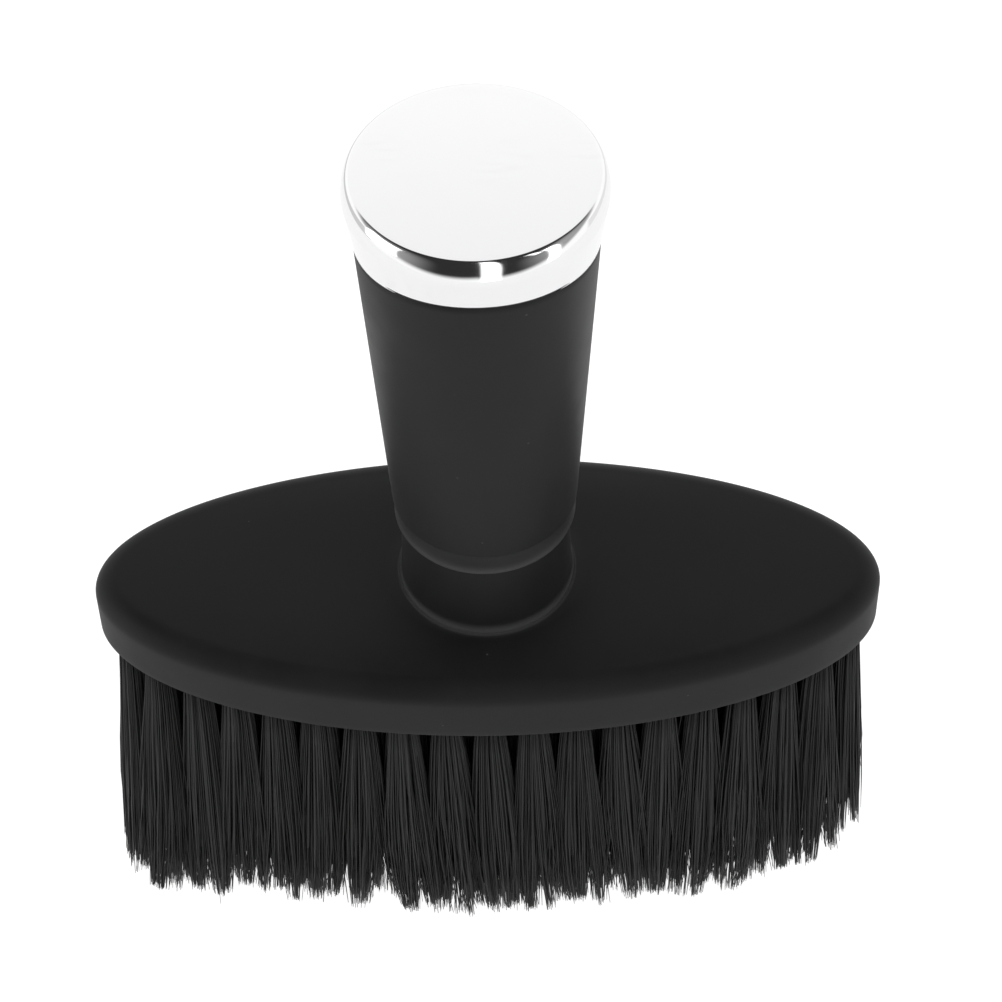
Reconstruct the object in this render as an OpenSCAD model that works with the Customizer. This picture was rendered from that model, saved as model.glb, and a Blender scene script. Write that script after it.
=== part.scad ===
// Neck duster brush: an oval plate with rows of bristle tufts under it, and an upright
// round handle with a bright metal cap. It stands on its bristle tips, which lie at z = 0.
// The long axis of the plate runs along X and the handle stands along Z.

/* [Plate] */
// Length of the oval plate
plate_len = 120; // [114:1:130]
// Width of the oval plate
plate_w = 47.5; // [46:0.5:50]
// Radius of the two end arcs of the oval
end_r = 12.25; // [11.5:0.25:13]
// Height of the plate's side wall with its rounded edge
plate_h = 10.9; // [10.5:0.1:12]
// Radius of the rounded top edge
edge_r = 3.6; // [2:0.1:4]
// Rise of the plate's crown above its edge
crown = 0.5; // [0.2:0.1:0.6]
// Thickness of the plate cover's wall
cover_t = 2.2; // [1.8:0.1:2.6]

/* [Collar] */
// Radius of the collar that holds the handle
collar_r = 12.7; // [12.5:0.1:13.3]
// Height of the collar's top above the underside of the plate
collar_top = 26.26; // [25:0.1:28]
// Radius of the socket inside the collar
socket_r = 10.5; // [10:0.1:11]
// Radius of the round bead where the collar meets the plate
bead_r = 0.6; // [0.6:0.1:1.1]

/* [Handle] */
// Height of the seam between handle and cap above the underside of the plate
seam_h = 85.8; // [80:0.1:100]
// Radius of the handle at that seam
seam_r = 17.06; // [16.5:0.02:18]
// Radius of the bend that takes the seam lower at the two sides
seam_bend_r = 60; // [55:1:90]
// Wall thickness of the handle's grip sleeve
grip_t = 3; // [2.6:0.1:3.2]
// Height of the rubber seat ring between collar and grip
seat_h = 3.6; // [3:0.1:4]
// Radius of the seat ring, which stands a little proud of the collar
seat_r = 13.44; // [13.4:0.02:13.8]

/* [Cap] */
// Height of the metal cap above the seam
cap_h = 8.8; // [7:0.05:9]
// Radius of the cap at its widest
cap_r = 18.1; // [17.7:0.05:19]
// Radius of the cap's rounded top edge
cap_edge_r = 1.6; // [1:0.1:2]
// Wall thickness of the cap
cap_t = 1.1; // [0.9:0.1:1.3]

/* [Bristles] */
// Free length of the bristles below the plate
bristle_len = 48; // [40:1:55]
// Distance from one row of tufts to the next
row_gap = 5.8; // [5.6:0.1:5.9]
// Distance from the plate's edge to the outer row
row_inset = 4.2; // [4.1:0.1:4.4]
// Distance between neighbouring tufts in a row
tuft_pitch = 6.5; // [6.3:0.1:6.8]
// Radius of a tuft where it leaves the plate
tuft_root_r = 2.1; // [1.8:0.05:2.1]
// Radius of a tuft at its tip
tuft_tip_r = 2.65; // [2.2:0.05:2.65]
// Distance the outer row's tips lean outwards
outer_lean = 3; // [2:0.1:3.5]

/* [Hidden] */
$fn = 96;

slip = 0.1;                            // clearance between pieces that fit together
eps = 0.01;                            // overlap that makes two shapes of one piece a union

// The oval is four arcs: two end arcs on the X axis and two long side arcs.
oval_a = plate_len / 2;
oval_b = plate_w / 2;
end_x = oval_a - end_r;                // centre of an end arc
side_r = (end_x * end_x + oval_b * oval_b - end_r * end_r) / (2 * (oval_b - end_r));
side_y = side_r - oval_b;              // centre of a side arc
join_deg = atan2(side_y, end_x);       // direction where an end arc meets a side arc
oval_steps = 144;                      // corners of an oval outline
crown_inset = end_r - 1.5;             // distance from the edge to the crown's level middle

// Levels along Z
plate_z = bristle_len;
plate_top = plate_z + plate_h;
roof_t = 2.8;                          // thickness of the cover's roof
roof_z = plate_top - roof_t;           // ceiling of the space under the cover
collar_z = plate_z + collar_top;
socket_z = plate_top + 3.2;            // floor of the handle's socket
pocket_z = socket_z - 2;               // ceiling of the pocket for the handle screw's head
seat_z = collar_z + slip;
grip_z = seat_z + seat_h + slip;
seam_z = plate_z + seam_h;
cap_z = seam_z + cap_h;

// The handle is one cone from the foot of the seat ring to the seam.
function cone_r(z) = seat_r + (seam_r - seat_r) * (z - collar_z) / (seam_z - collar_z);

// Bristle block and tuft holes
block_t = 7.7;
hole_r = tuft_root_r + 0.05;
hole_depth = 7;
root_depth = 5.2;
anchor_w = 3.6;
anchor_t = 0.4;
anchor_h = 1.5;
block_screw_x = end_x - 3.35;
screw_boss_r = 3.2;
boss_depth = 4.4;

// Screws, inserts and pins
m2_r = 1;
m2_head_r = 1.9;
m5_r = 2.45;
m5_thread_r = 2.05;
m5_head_r = 4.2;
m5_head_h = 3;
m3_thread_r = 1.25;
m3_head_r = 2.8;
m3_head_h = 2;
insert_r = 3.5;
insert_len = 10;
small_insert_r = 2.4;
small_insert_len = 8;
pin_r = 1.25;
pin_len = 8;
pin_x = 7.5;
washer_r = 5;
washer_t = 1;

// Handle core and cap plug
spigot_r = socket_r - slip;
core_r = 9;
core_top = seam_z - 14;
plug_z = seam_z - 9;
plug_flange_t = 2;
plug_hub_r = 5;
plug_wall = 2.5;
seal_r = 0.8;                          // half the thickness of the sealing ring
seal_groove = 1.3;                     // depth of its groove in the plug
seal_z = seam_z - 4.5;

// ---- Rows of tufts on ovals set in from the plate's edge ----

// Radii, end centre and joining direction of the oval at an inset. Past the end arcs'
// own radius the side arcs meet in a point.
function row_end_r(inset) = max(end_r - inset, 0);
function row_side_r(inset) = side_r - inset;
function row_end_x(inset) = inset < end_r ? end_x
    : sqrt(row_side_r(inset) * row_side_r(inset) - side_y * side_y);
function row_join(inset) = inset < end_r ? join_deg : asin(side_y / row_side_r(inset));
function arc_len(r, deg) = r * deg * PI / 180;
function arc_deg(r, len) = len / r * 180 / PI;
function row_end_len(inset) = arc_len(row_end_r(inset), row_join(inset));
function row_side_len(inset) = arc_len(row_side_r(inset), 180 - 2 * row_join(inset));
function row_length(inset) = 4 * row_end_len(inset) + 2 * row_side_len(inset);

// The place [x, y, outward direction] a distance s along the row, from its +X end.
function row_place(inset, s) =
    let (e = row_end_len(inset), d = row_side_len(inset), q = row_join(inset))
    s < e ? end_place(inset, 1, e == 0 ? 0 : arc_deg(row_end_r(inset), s))
    : s < e + d ? side_place(inset, -1, q + arc_deg(row_side_r(inset), s - e))
    : s < 3 * e + d ? end_place(inset, -1, 180 - q + arc_deg(row_end_r(inset), s - e - d))
    : s < 3 * e + 2 * d
        ? side_place(inset, 1, 180 + q + arc_deg(row_side_r(inset), s - 3 * e - d))
    : end_place(inset, 1, 360 - q + arc_deg(row_end_r(inset), s - 3 * e - 2 * d));
function end_place(inset, side, deg) =
    [side * row_end_x(inset) + row_end_r(inset) * cos(deg), row_end_r(inset) * sin(deg), deg];
function side_place(inset, side, deg) =
    [row_side_r(inset) * cos(deg), side * side_y + row_side_r(inset) * sin(deg), deg];

// All places of a row. start is the first tuft's place, in steps of the row.
function row_places(inset, start) =
    let (count = 2 * round(row_length(inset) / tuft_pitch / 2), step = row_length(inset) / count)
    [for (i = [0 : count - 1]) row_place(inset, (i + start) * step)];

// A pointed row has one tuft in each of its points.
function pointed_row_places(inset) =
    let (d = row_side_len(inset), count = round(d / tuft_pitch), q = row_join(inset),
         turn = (180 - 2 * q) / count)
    concat([[row_end_x(inset), 0, 0], [-row_end_x(inset), 0, 180]],
           [for (side = [1, -1], i = [1 : count - 1])
               side_place(inset, side, side > 0 ? 180 + q + i * turn : q + i * turn)]);

outer_places = row_places(row_inset, 0.5);
second_places = row_places(row_inset + row_gap, 0.5);
third_places = pointed_row_places(row_inset + 2 * row_gap);
centre_count = 7;
centre_places = [for (i = [0 : centre_count - 1])
    [(i - (centre_count - 1) / 2) * tuft_pitch * 0.95, 0, 0]];
second_lean = outer_lean / 2;
third_lean = outer_lean / 6;

// ---- Oval solids ----

function oval_points(inset) =
    [for (i = [0 : oval_steps - 1])
        let (p = row_place(inset, i * row_length(inset) / oval_steps)) [p[0], p[1]]];

module oval_slab(inset, height) {
    linear_extrude(height)
        polygon(oval_points(inset));
}

// The plate's outside: a plain wall, a rounded upper edge made of thin ovals that step
// round a quarter circle, and a low crown. It is convex, so one hull joins them.
module rounded_plate() {
    edge_step = 15;
    hull() {
        oval_slab(0, plate_h - edge_r);
        for (deg = [edge_step : edge_step : 90])
            translate([0, 0, plate_h - edge_r + edge_r * sin(deg) - eps])
                oval_slab(edge_r * (1 - cos(deg)), eps);
        translate([0, 0, plate_h + crown - eps])
            oval_slab(crown_inset, eps);
    }
}

// ---- Round pieces ----

module tube(r_out, r_in, height) {
    difference() {
        cylinder(r = r_out, h = height);
        translate([0, 0, -eps])
            cylinder(r = r_in, h = height + 2 * eps);
    }
}

// A cylinder whose upper rim is rounded.
module soft_top_cylinder(r, height, rim) {
    rotate_extrude() {
        square([r - rim, height]);
        square([r, height - rim]);
        intersection() {
            translate([r - rim, height - rim])
                circle(rim);
            square([r, height]);
        }
    }
}

module at_places(places) {
    for (p = places)
        translate([p[0], p[1], 0])
            rotate(p[2])
                children();
}

module at_mirrored(x) {
    for (side = [-1, 1])
        translate([side * x, 0, 0])
            children();
}

// One tuft: a straight root in its hole, and a free length that widens and leans
// outwards to a flat cut tip at z = 0.
module tuft(lean) {
    tilt = atan(lean / bristle_len);
    reach = bristle_len / cos(tilt) + tuft_tip_r;
    intersection() {
        translate([0, 0, plate_z])
            rotate([0, 180 - tilt, 0])
                cylinder(r1 = tuft_root_r, r2 = tuft_tip_r, h = reach);
        translate([-oval_b, -oval_b, 0])
            cube([2 * oval_b, 2 * oval_b, plate_z]);
    }
    translate([0, 0, plate_z - eps])
        cylinder(r = tuft_root_r - eps, h = root_depth);
}

module anchor() {
    translate([-anchor_t / 2, -anchor_w / 2, plate_z + root_depth + slip])
        cube([anchor_t, anchor_w, anchor_h]);
}

module screw(shank_r, shank_len, head_r, head_h) {
    cylinder(r = head_r, h = head_h);
    cylinder(r = shank_r, h = head_h + shank_len);
}

// ---- Plate ----

module plate_cover() {
    color("#1c1c1d")
    difference() {
        union() {
            translate([0, 0, plate_z])
                rounded_plate();
            translate([0, 0, plate_z + edge_r])
                soft_top_cylinder(collar_r, collar_top - edge_r, 0.6);
            translate([0, 0, plate_top + crown + bead_r / 4])
                rotate_extrude()
                    translate([collar_r + bead_r / 4, 0])
                        circle(bead_r);
        }
        difference() {
            translate([0, 0, plate_z - eps])
                oval_slab(cover_t, roof_z - plate_z + eps);
            translate([0, 0, roof_z - boss_depth])
                at_mirrored(block_screw_x)
                    cylinder(r = screw_boss_r, h = boss_depth + 1);
        }
        translate([0, 0, socket_z])
            cylinder(r = socket_r, h = collar_z - socket_z + 1);
        cylinder(r = m5_r + slip, h = collar_z);
        cylinder(r = washer_r + slip, h = pocket_z);
        at_mirrored(block_screw_x)
            cylinder(r = m2_r, h = roof_z);
        at_mirrored(pin_x)
            translate([0, 0, socket_z - pin_len / 2])
                cylinder(r = pin_r + 0.05, h = pin_len);
    }
}

module bristle_block() {
    color("#141414")
    difference() {
        translate([0, 0, plate_z])
            oval_slab(cover_t + slip, block_t);
        translate([0, 0, plate_z - 1])
            at_places(concat(outer_places, second_places, third_places, centre_places))
                cylinder(r = hole_r, h = hole_depth + 1);
        at_mirrored(block_screw_x) {
            translate([0, 0, plate_z - 1])
                cylinder(r = m2_r + slip, h = block_t + 2);
            translate([0, 0, plate_z - 1])
                cylinder(r = m2_head_r + slip, h = 1 + 1.3);
            translate([0, 0, roof_z - boss_depth - slip])
                cylinder(r = screw_boss_r + slip, h = block_t);
        }
    }
}

module block_screws() {
    color("#a9abae")
    at_mirrored(block_screw_x)
        translate([0, 0, plate_z])
            screw(m2_r - 0.05, 6, m2_head_r, 1.2);
}

// ---- Bristles ----

module tufts_outer_row() {
    color("#232323")
    at_places(outer_places)
        tuft(outer_lean);
}

module tufts_second_row() {
    color("#272727")
    at_places(second_places)
        tuft(second_lean);
}

module tufts_third_row() {
    color("#202020")
    at_places(third_places)
        tuft(third_lean);
}

module tufts_centre_row() {
    color("#2a2a2a")
    at_places(centre_places)
        tuft(0);
}

module anchors_outer_row() {
    color("#c2b280")
    at_places(outer_places)
        anchor();
}

module anchors_second_row() {
    color("#c2b280")
    at_places(second_places)
        anchor();
}

module anchors_third_row() {
    color("#c2b280")
    at_places(third_places)
        anchor();
}

module anchors_centre_row() {
    color("#c2b280")
    at_places(centre_places)
        anchor();
}

// ---- Handle ----

// A long cylinder along Y whose top is the curved seam between the grip and the cap.
module seam_cylinder(r) {
    translate([0, 0, seam_z - seam_bend_r])
        rotate([90, 0, 0])
            cylinder(r = r, h = 4 * seam_r, center = true, $fn = 360);
}

module handle_screw() {
    color("#8f9296")
    translate([0, 0, pocket_z - washer_t - m5_head_h])
        screw(m5_thread_r, socket_z + insert_len - pocket_z, m5_head_r, m5_head_h);
}

module handle_screw_washer() {
    color("#b9bbbe")
    translate([0, 0, pocket_z - washer_t])
        tube(washer_r, m5_r, washer_t - slip / 2);
}

module lower_insert() {
    color("#b08d3e")
    translate([0, 0, socket_z + slip])
        tube(insert_r - 0.05, m5_thread_r + 0.05, insert_len);
}

module locating_pins() {
    color("#9a9ca0")
    at_mirrored(pin_x)
        translate([0, 0, socket_z - pin_len / 2 + slip])
            cylinder(r = pin_r, h = pin_len - 2 * slip);
}

module seat_ring() {
    color("#0f0f10")
    translate([0, 0, seat_z])
        tube(seat_r, socket_r, seat_h);
}

module handle_core() {
    color("#303236")
    difference() {
        union() {
            translate([0, 0, socket_z + slip])
                cylinder(r = spigot_r, h = grip_z + 4 - socket_z);
            translate([0, 0, socket_z + slip])
                cylinder(r = core_r, h = core_top - socket_z - slip);
        }
        cylinder(r = insert_r, h = socket_z + insert_len + 2 * slip);
        cylinder(r = m5_r, h = socket_z + insert_len + 4);
        translate([0, 0, core_top - small_insert_len - slip])
            cylinder(r = small_insert_r, h = small_insert_len + 1);
        translate([0, 0, core_top - small_insert_len - 4])
            cylinder(r = m3_thread_r + 0.3, h = small_insert_len);
        at_mirrored(pin_x)
            cylinder(r = pin_r + 0.05, h = socket_z + pin_len / 2 + slip);
    }
}

// The sleeve that the hand holds. Its foot is chamfered, which leaves a fine groove
// above the seat ring, and its bore steps out above the core's spigot.
module handle_grip() {
    groove = 0.5;
    step_z = grip_z + 4.5;
    color("#1f1f20")
    intersection() {
        rotate_extrude()
            polygon([[socket_r, grip_z],
                     [cone_r(grip_z) - groove, grip_z],
                     [cone_r(grip_z + groove), grip_z + groove],
                     [seam_r, seam_z],
                     [seam_r - grip_t, seam_z],
                     [cone_r(step_z) - grip_t, step_z],
                     [socket_r, step_z - 1]]);
        seam_cylinder(seam_bend_r - slip / 2);
    }
}

module upper_insert() {
    color("#b08d3e")
    translate([0, 0, core_top - small_insert_len])
        tube(small_insert_r - 0.05, m3_thread_r + 0.05, small_insert_len);
}

// ---- Cap ----

skirt_drop = 3.5;                      // length of skirt that the curved seam is cut from
plug_r = cone_r(plug_z) - grip_t - slip;
rim_r = seam_r - cap_t - 0.15;

// A cup that closes the sleeve: its flange lies on the sleeve's top inside the cap.
module cap_plug() {
    color("#3a3c40")
    difference() {
        union() {
            translate([0, 0, core_top + slip])
                cylinder(r = plug_hub_r, h = seam_z - core_top - slip);
            translate([0, 0, plug_z])
                cylinder(r = plug_r, h = seam_z - plug_z + slip);
            translate([0, 0, seam_z])
                cylinder(r = rim_r, h = plug_flange_t);
        }
        translate([0, 0, plug_z + plug_wall])
            tube(plug_r - plug_wall, plug_hub_r, cap_h + seam_z - plug_z);
        cylinder(r = m3_thread_r + 0.3, h = cap_z);
        translate([0, 0, seam_z - 2])
            cylinder(r = m3_head_r + slip, h = cap_h);
        translate([0, 0, seal_z - seal_r - slip])
            tube(plug_r + 1, plug_r - seal_groove, 2 * (seal_r + slip));
    }
}

module plug_screw() {
    color("#a9abae")
    mirror([0, 0, 1])
        translate([0, 0, -seam_z + slip])
            screw(m3_thread_r, seam_z - core_top + small_insert_len - 4, m3_head_r, m3_head_h - slip);
}

module cap_seal() {
    color("#101011")
    translate([0, 0, seal_z])
        rotate_extrude()
            translate([plug_r - seal_groove + seal_r + slip / 2, 0])
                circle(seal_r);
}

// The cap's outline, taken inwards by an inset: a skirt that carries on the handle's
// cone, a rounded edge, and a top with a very low dome.
module cap_outline(inset) {
    r = cap_r - inset;
    rim = cap_edge_r - inset / 2;
    top = cap_h - inset;
    dome = 0.35;
    dome_r = (r * r + dome * dome) / (2 * dome);
    foot = cone_r(seam_z - skirt_drop) - inset;
    polygon([[0, -skirt_drop], [foot, -skirt_drop], [seam_r - inset, 0],
             [r, top - dome - rim], [0, top - dome - rim]]);
    square([r - rim, top - dome]);
    translate([r - rim, top - dome - rim])
        circle(rim);
    intersection() {
        translate([0, top - dome_r])
            circle(dome_r, $fn = 720);
        translate([0, cap_h / 2])
            square([r - rim, cap_h]);
    }
}

module cap_solid(inset) {
    rotate_extrude()
        intersection() {
            cap_outline(inset);
            translate([0, -cap_h])
                square([2 * cap_r, 3 * cap_h]);
        }
}

// The cap's skirt ends on the curved seam, so it reaches lower at the two sides.
module handle_cap() {
    color("#e6e8ea")
    difference() {
        translate([0, 0, seam_z])
            cap_solid(0);
        translate([0, 0, seam_z - eps])
            cap_solid(cap_t);
        seam_cylinder(seam_bend_r + slip / 2);
    }
}

plate_cover();
bristle_block();
tufts_outer_row();
tufts_second_row();
tufts_third_row();
tufts_centre_row();
anchors_outer_row();
anchors_second_row();
anchors_third_row();
anchors_centre_row();
block_screws();
handle_screw();
handle_screw_washer();
lower_insert();
locating_pins();
seat_ring();
handle_core();
handle_grip();
upper_insert();
cap_plug();
plug_screw();
cap_seal();
handle_cap();
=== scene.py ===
"""Neck duster brush: the looks of an upright barber's brush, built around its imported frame.

Each visible piece is a surface worked out with numpy in metres, in the frame's own axes:
+X along the plate, +Z up the handle, z = 0 at the bristle tips.
"""
import math

import bpy
import numpy as np
from bpy.props import FloatProperty, FloatVectorProperty, IntProperty, PointerProperty
from mathutils import Matrix, Vector


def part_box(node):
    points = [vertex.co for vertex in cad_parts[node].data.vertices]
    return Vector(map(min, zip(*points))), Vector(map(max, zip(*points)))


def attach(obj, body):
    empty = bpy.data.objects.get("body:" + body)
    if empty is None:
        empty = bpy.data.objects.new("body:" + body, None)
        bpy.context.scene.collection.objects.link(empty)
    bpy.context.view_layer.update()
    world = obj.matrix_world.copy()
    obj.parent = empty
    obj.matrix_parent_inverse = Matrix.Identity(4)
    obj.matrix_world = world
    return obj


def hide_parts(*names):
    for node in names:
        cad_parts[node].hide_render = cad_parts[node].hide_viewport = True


bl_info = {
    "name": "Neck duster brush",
    "version": (1, 0, 0),
    "blender": (4, 5, 0),
    "location": "3D View > Sidebar > Duster",
    "description": "Builds the plate, handle, cap and bristles of a neck duster brush",
    "category": "Add Mesh",
}

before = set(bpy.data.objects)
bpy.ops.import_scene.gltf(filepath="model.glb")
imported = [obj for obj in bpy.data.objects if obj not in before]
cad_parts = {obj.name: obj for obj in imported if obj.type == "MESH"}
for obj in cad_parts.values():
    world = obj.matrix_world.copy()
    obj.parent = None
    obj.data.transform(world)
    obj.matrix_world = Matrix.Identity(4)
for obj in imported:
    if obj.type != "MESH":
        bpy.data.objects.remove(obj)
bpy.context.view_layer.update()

BODY = "root"
MM = 0.001
TAU = 2 * math.pi
COLUMNS = 384                # steps round the plate and the handle

# ---- Measures taken from the frame ----

cover_low, cover_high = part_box("plate_cover")
block_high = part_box("bristle_block")[1]
seat_low, seat_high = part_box("seat_ring")
grip_low, grip_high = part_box("handle_grip")
cap_low, cap_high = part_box("handle_cap")
core_low, core_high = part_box("handle_core")

SOCKET_GAP = 0.1 * MM                    # room round the core in the collar and the sleeve
COLLAR_LOWERED = 0.5 * MM                # how far the drawn seat ring laps down over the collar
CAP_INSET = 0.2 * MM                     # how much slimmer the drawn cap is than its solid
CAP_LOWERED = 0.3 * MM                   # how much lower the drawn cap's top is
CAP_PROUD = 0.28 * MM                    # how far the cap's foot stands out from the seam

PLATE_A = cover_high.x                   # half length of the oval
PLATE_B = cover_high.y                   # half width of the oval
UNDER_Z = cover_low.z                    # underside of the plate
COLLAR_Z = cover_high.z - COLLAR_LOWERED
SEAT_R = seat_high.x
GRIP_FOOT_Z = grip_low.z
SEAM_Z = grip_high.z
SEAM_R = grip_high.x
SEAM_DROP = SEAM_Z - cap_low.z           # how much lower the seam is at the sides
SOCKET_R = core_high.x + SOCKET_GAP
SOCKET_Z = core_low.z                    # floor of the socket that the handle stands in
CAP_R = cap_high.x - CAP_INSET
CAP_FOOT_R = SEAM_R + CAP_PROUD
CAP_TOP_Z = cap_high.z - CAP_LOWERED


# ---- Settings ----

class DusterPlateSettings(bpy.types.PropertyGroup):
    """Sizes and colour of the plate cover and its collar"""
    edge_radius: FloatProperty(
        name="Edge radius", description="Radius of the plate's rounded upper edge",
        default=3.6 * MM, min=1 * MM, max=5 * MM, subtype="DISTANCE", unit="LENGTH")
    side_height: FloatProperty(
        name="Side height", description="Height of the plate's side with its rounded edge",
        default=10.9 * MM, min=8 * MM, max=14 * MM, subtype="DISTANCE", unit="LENGTH")
    crown: FloatProperty(
        name="Crown", description="Rise of the plate's top from its edge to the collar",
        default=0.5 * MM, min=0, max=2 * MM, subtype="DISTANCE", unit="LENGTH")
    fullness: FloatProperty(
        name="Fullness", description="Exponent of the oval: 2 is an ellipse",
        default=1.95, min=1.7, max=2.6)
    collar_radius: FloatProperty(
        name="Collar radius", description="Radius of the collar just under the seat ring",
        default=12.6 * MM, min=12 * MM, max=14 * MM, subtype="DISTANCE", unit="LENGTH")
    collar_flare: FloatProperty(
        name="Collar flare", description="How much wider the collar is at its foot",
        default=0.4 * MM, min=0, max=2 * MM, subtype="DISTANCE", unit="LENGTH")
    bead_radius: FloatProperty(
        name="Bead radius", description="Radius of the round bead at the collar's foot",
        default=0.5 * MM, min=0.3 * MM, max=1.5 * MM, subtype="DISTANCE", unit="LENGTH")
    foot_fillet: FloatProperty(
        name="Foot fillet", description="Radius of the hollow turn from the bead to the top",
        default=0.4 * MM, min=0.2 * MM, max=3 * MM, subtype="DISTANCE", unit="LENGTH")
    colour: FloatVectorProperty(
        name="Colour", description="Colour of the soft-touch coating on plate and handle",
        default=(0.0118, 0.0118, 0.0122), min=0, max=1, size=3, subtype="COLOR")


class DusterHandleSettings(bpy.types.PropertyGroup):
    """Sizes of the grip sleeve and the cap"""
    grip_wall: FloatProperty(
        name="Grip wall", description="Thickness of the grip sleeve",
        default=3 * MM, min=2 * MM, max=4 * MM, subtype="DISTANCE", unit="LENGTH")
    foot_round: FloatProperty(
        name="Foot rounding", description="Radius of the grip's lower edge",
        default=0.3 * MM, min=0.1 * MM, max=1 * MM, subtype="DISTANCE", unit="LENGTH")
    cap_edge: FloatProperty(
        name="Cap edge width", description="How far in from the cap's side its edge turn ends",
        default=1.3 * MM, min=0.5 * MM, max=3 * MM, subtype="DISTANCE", unit="LENGTH")
    cap_edge_drop: FloatProperty(
        name="Cap edge height", description="How far down from the cap's top its edge turn ends",
        default=3.5 * MM, min=0.5 * MM, max=4 * MM, subtype="DISTANCE", unit="LENGTH")
    cap_dome: FloatProperty(
        name="Cap dome", description="Rise of the cap's top from its edge to its middle",
        default=0.25 * MM, min=0, max=1 * MM, subtype="DISTANCE", unit="LENGTH")
    cap_wall: FloatProperty(
        name="Cap wall", description="Thickness of the cap's metal",
        default=1.1 * MM, min=0.5 * MM, max=2 * MM, subtype="DISTANCE", unit="LENGTH")


class DusterBristleSettings(bpy.types.PropertyGroup):
    """Number, sizes and colour of the filaments"""
    per_tuft: IntProperty(
        name="Filaments", description="Filaments in one tuft of the outer row",
        default=300, min=20, max=400)
    filament_radius: FloatProperty(
        name="Filament radius", description="Radius of a filament where it leaves the plate",
        default=0.155 * MM, min=0.03 * MM, max=0.3 * MM, subtype="DISTANCE", unit="LENGTH")
    fan: FloatProperty(
        name="Fan", description="Half width of a tuft at its tips, along its row",
        default=5.2 * MM, min=2 * MM, max=7 * MM, subtype="DISTANCE", unit="LENGTH")
    ragged: FloatProperty(
        name="Raggedness", description="Usual difference in length between filaments",
        default=0.5 * MM, min=0, max=4 * MM, subtype="DISTANCE", unit="LENGTH")
    colour: FloatVectorProperty(
        name="Colour", description="Colour of the bristles",
        default=(0.0165, 0.0165, 0.017), min=0, max=1, size=3, subtype="COLOR")


class DusterStageSettings(bpy.types.PropertyGroup):
    """Brightness of the table and of the studio round the brush"""
    sky: FloatProperty(
        name="Sky", description="Brightness of the white studio round the brush",
        default=1.0, min=0, max=5)
    ceiling: FloatProperty(
        name="Ceiling", description="Brightness of the dark part of the studio overhead",
        default=0.03, min=0, max=1)
    fill: FloatProperty(
        name="Fill", description="Soft light that the dark part still sends to matt surfaces",
        default=0.45, min=0, max=1)
    window: FloatProperty(
        name="Windows", description="Brightness of the bright windows of the studio",
        default=1.8, min=0, max=10)
    floor_glow: FloatProperty(
        name="Floor glow", description="Light that the lit table gives off by itself",
        default=0.79, min=0, max=2)


# ---- Mesh building ----

def make_mesh_object(name, points, quads, triangles=None):
    """A smooth mesh object from arrays of points, four-cornered and three-cornered faces."""
    triangles = np.zeros((0, 3), np.int64) if triangles is None else triangles
    mesh = bpy.data.meshes.new(name)
    mesh.vertices.add(len(points))
    mesh.vertices.foreach_set("co", points.astype(np.float32).ravel())
    corners = np.concatenate([quads.ravel(), triangles.ravel()]).astype(np.int32)
    sizes = np.concatenate([np.full(len(quads), 4), np.full(len(triangles), 3)]).astype(np.int32)
    starts = np.concatenate([[0], np.cumsum(sizes)[:-1]]).astype(np.int32)
    mesh.loops.add(len(corners))
    mesh.loops.foreach_set("vertex_index", corners)
    mesh.polygons.add(len(sizes))
    mesh.polygons.foreach_set("loop_start", starts)
    mesh.polygons.foreach_set("use_smooth", np.ones(len(sizes), bool))
    mesh.update(calc_edges=True)
    mesh.validate()
    piece = bpy.data.objects.new(name, mesh)
    bpy.context.scene.collection.objects.link(piece)
    return piece


def signed_volume(points, quads, triangles):
    """Sum of the signed volumes that the faces span with the origin: above 0 if they face out."""
    faces = np.concatenate([quads[:, [0, 1, 2]], quads[:, [0, 2, 3]], triangles])
    a, b, c = (points[faces[:, i]] for i in range(3))
    return float(np.einsum("ij,ij->i", a, np.cross(b, c)).sum()) / 6


def closed_surface(name, rows, pole_ends=False):
    """A closed surface from rows of points, each row a loop round the Z axis.

    rows has the shape (profile steps, columns, 3). Without poles the last row joins the
    first, which makes a ring-shaped solid. With poles a single point closes each end: the
    middle of the first row and the middle of the last row.
    """
    steps, columns = rows.shape[:2]
    points = rows.reshape(-1, 3)
    index = np.arange(steps * columns).reshape(steps, columns)
    here = index[:-1] if pole_ends else index
    after = index[1:] if pole_ends else np.roll(index, -1, axis=0)
    quads = np.stack([here, np.roll(here, -1, 1), np.roll(after, -1, 1), after], -1).reshape(-1, 4)
    triangles = np.zeros((0, 3), np.int64)
    if pole_ends:
        poles = np.stack([rows[0].mean(0), rows[-1].mean(0)])
        first, last = len(points), len(points) + 1
        points = np.concatenate([points, poles])
        start = np.stack([np.roll(index[0], -1), index[0], np.full(columns, first)], -1)
        end = np.stack([index[-1], np.roll(index[-1], -1), np.full(columns, last)], -1)
        triangles = np.concatenate([start, end])
    if signed_volume(points, quads, triangles) < 0:
        quads, triangles = quads[:, ::-1], triangles[:, ::-1]
    return make_mesh_object(name, points, quads, triangles)


def turn_angles():
    """One full turn in even steps, without the last angle, which is the first again."""
    return np.arange(COLUMNS) * TAU / COLUMNS


def circle_row(radius, z):
    """A level circle about the Z axis; radius and z are numbers or one value for each column."""
    t = turn_angles()
    z = np.broadcast_to(z, t.shape)
    return np.stack([radius * np.cos(t), radius * np.sin(t), z], -1)


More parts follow.
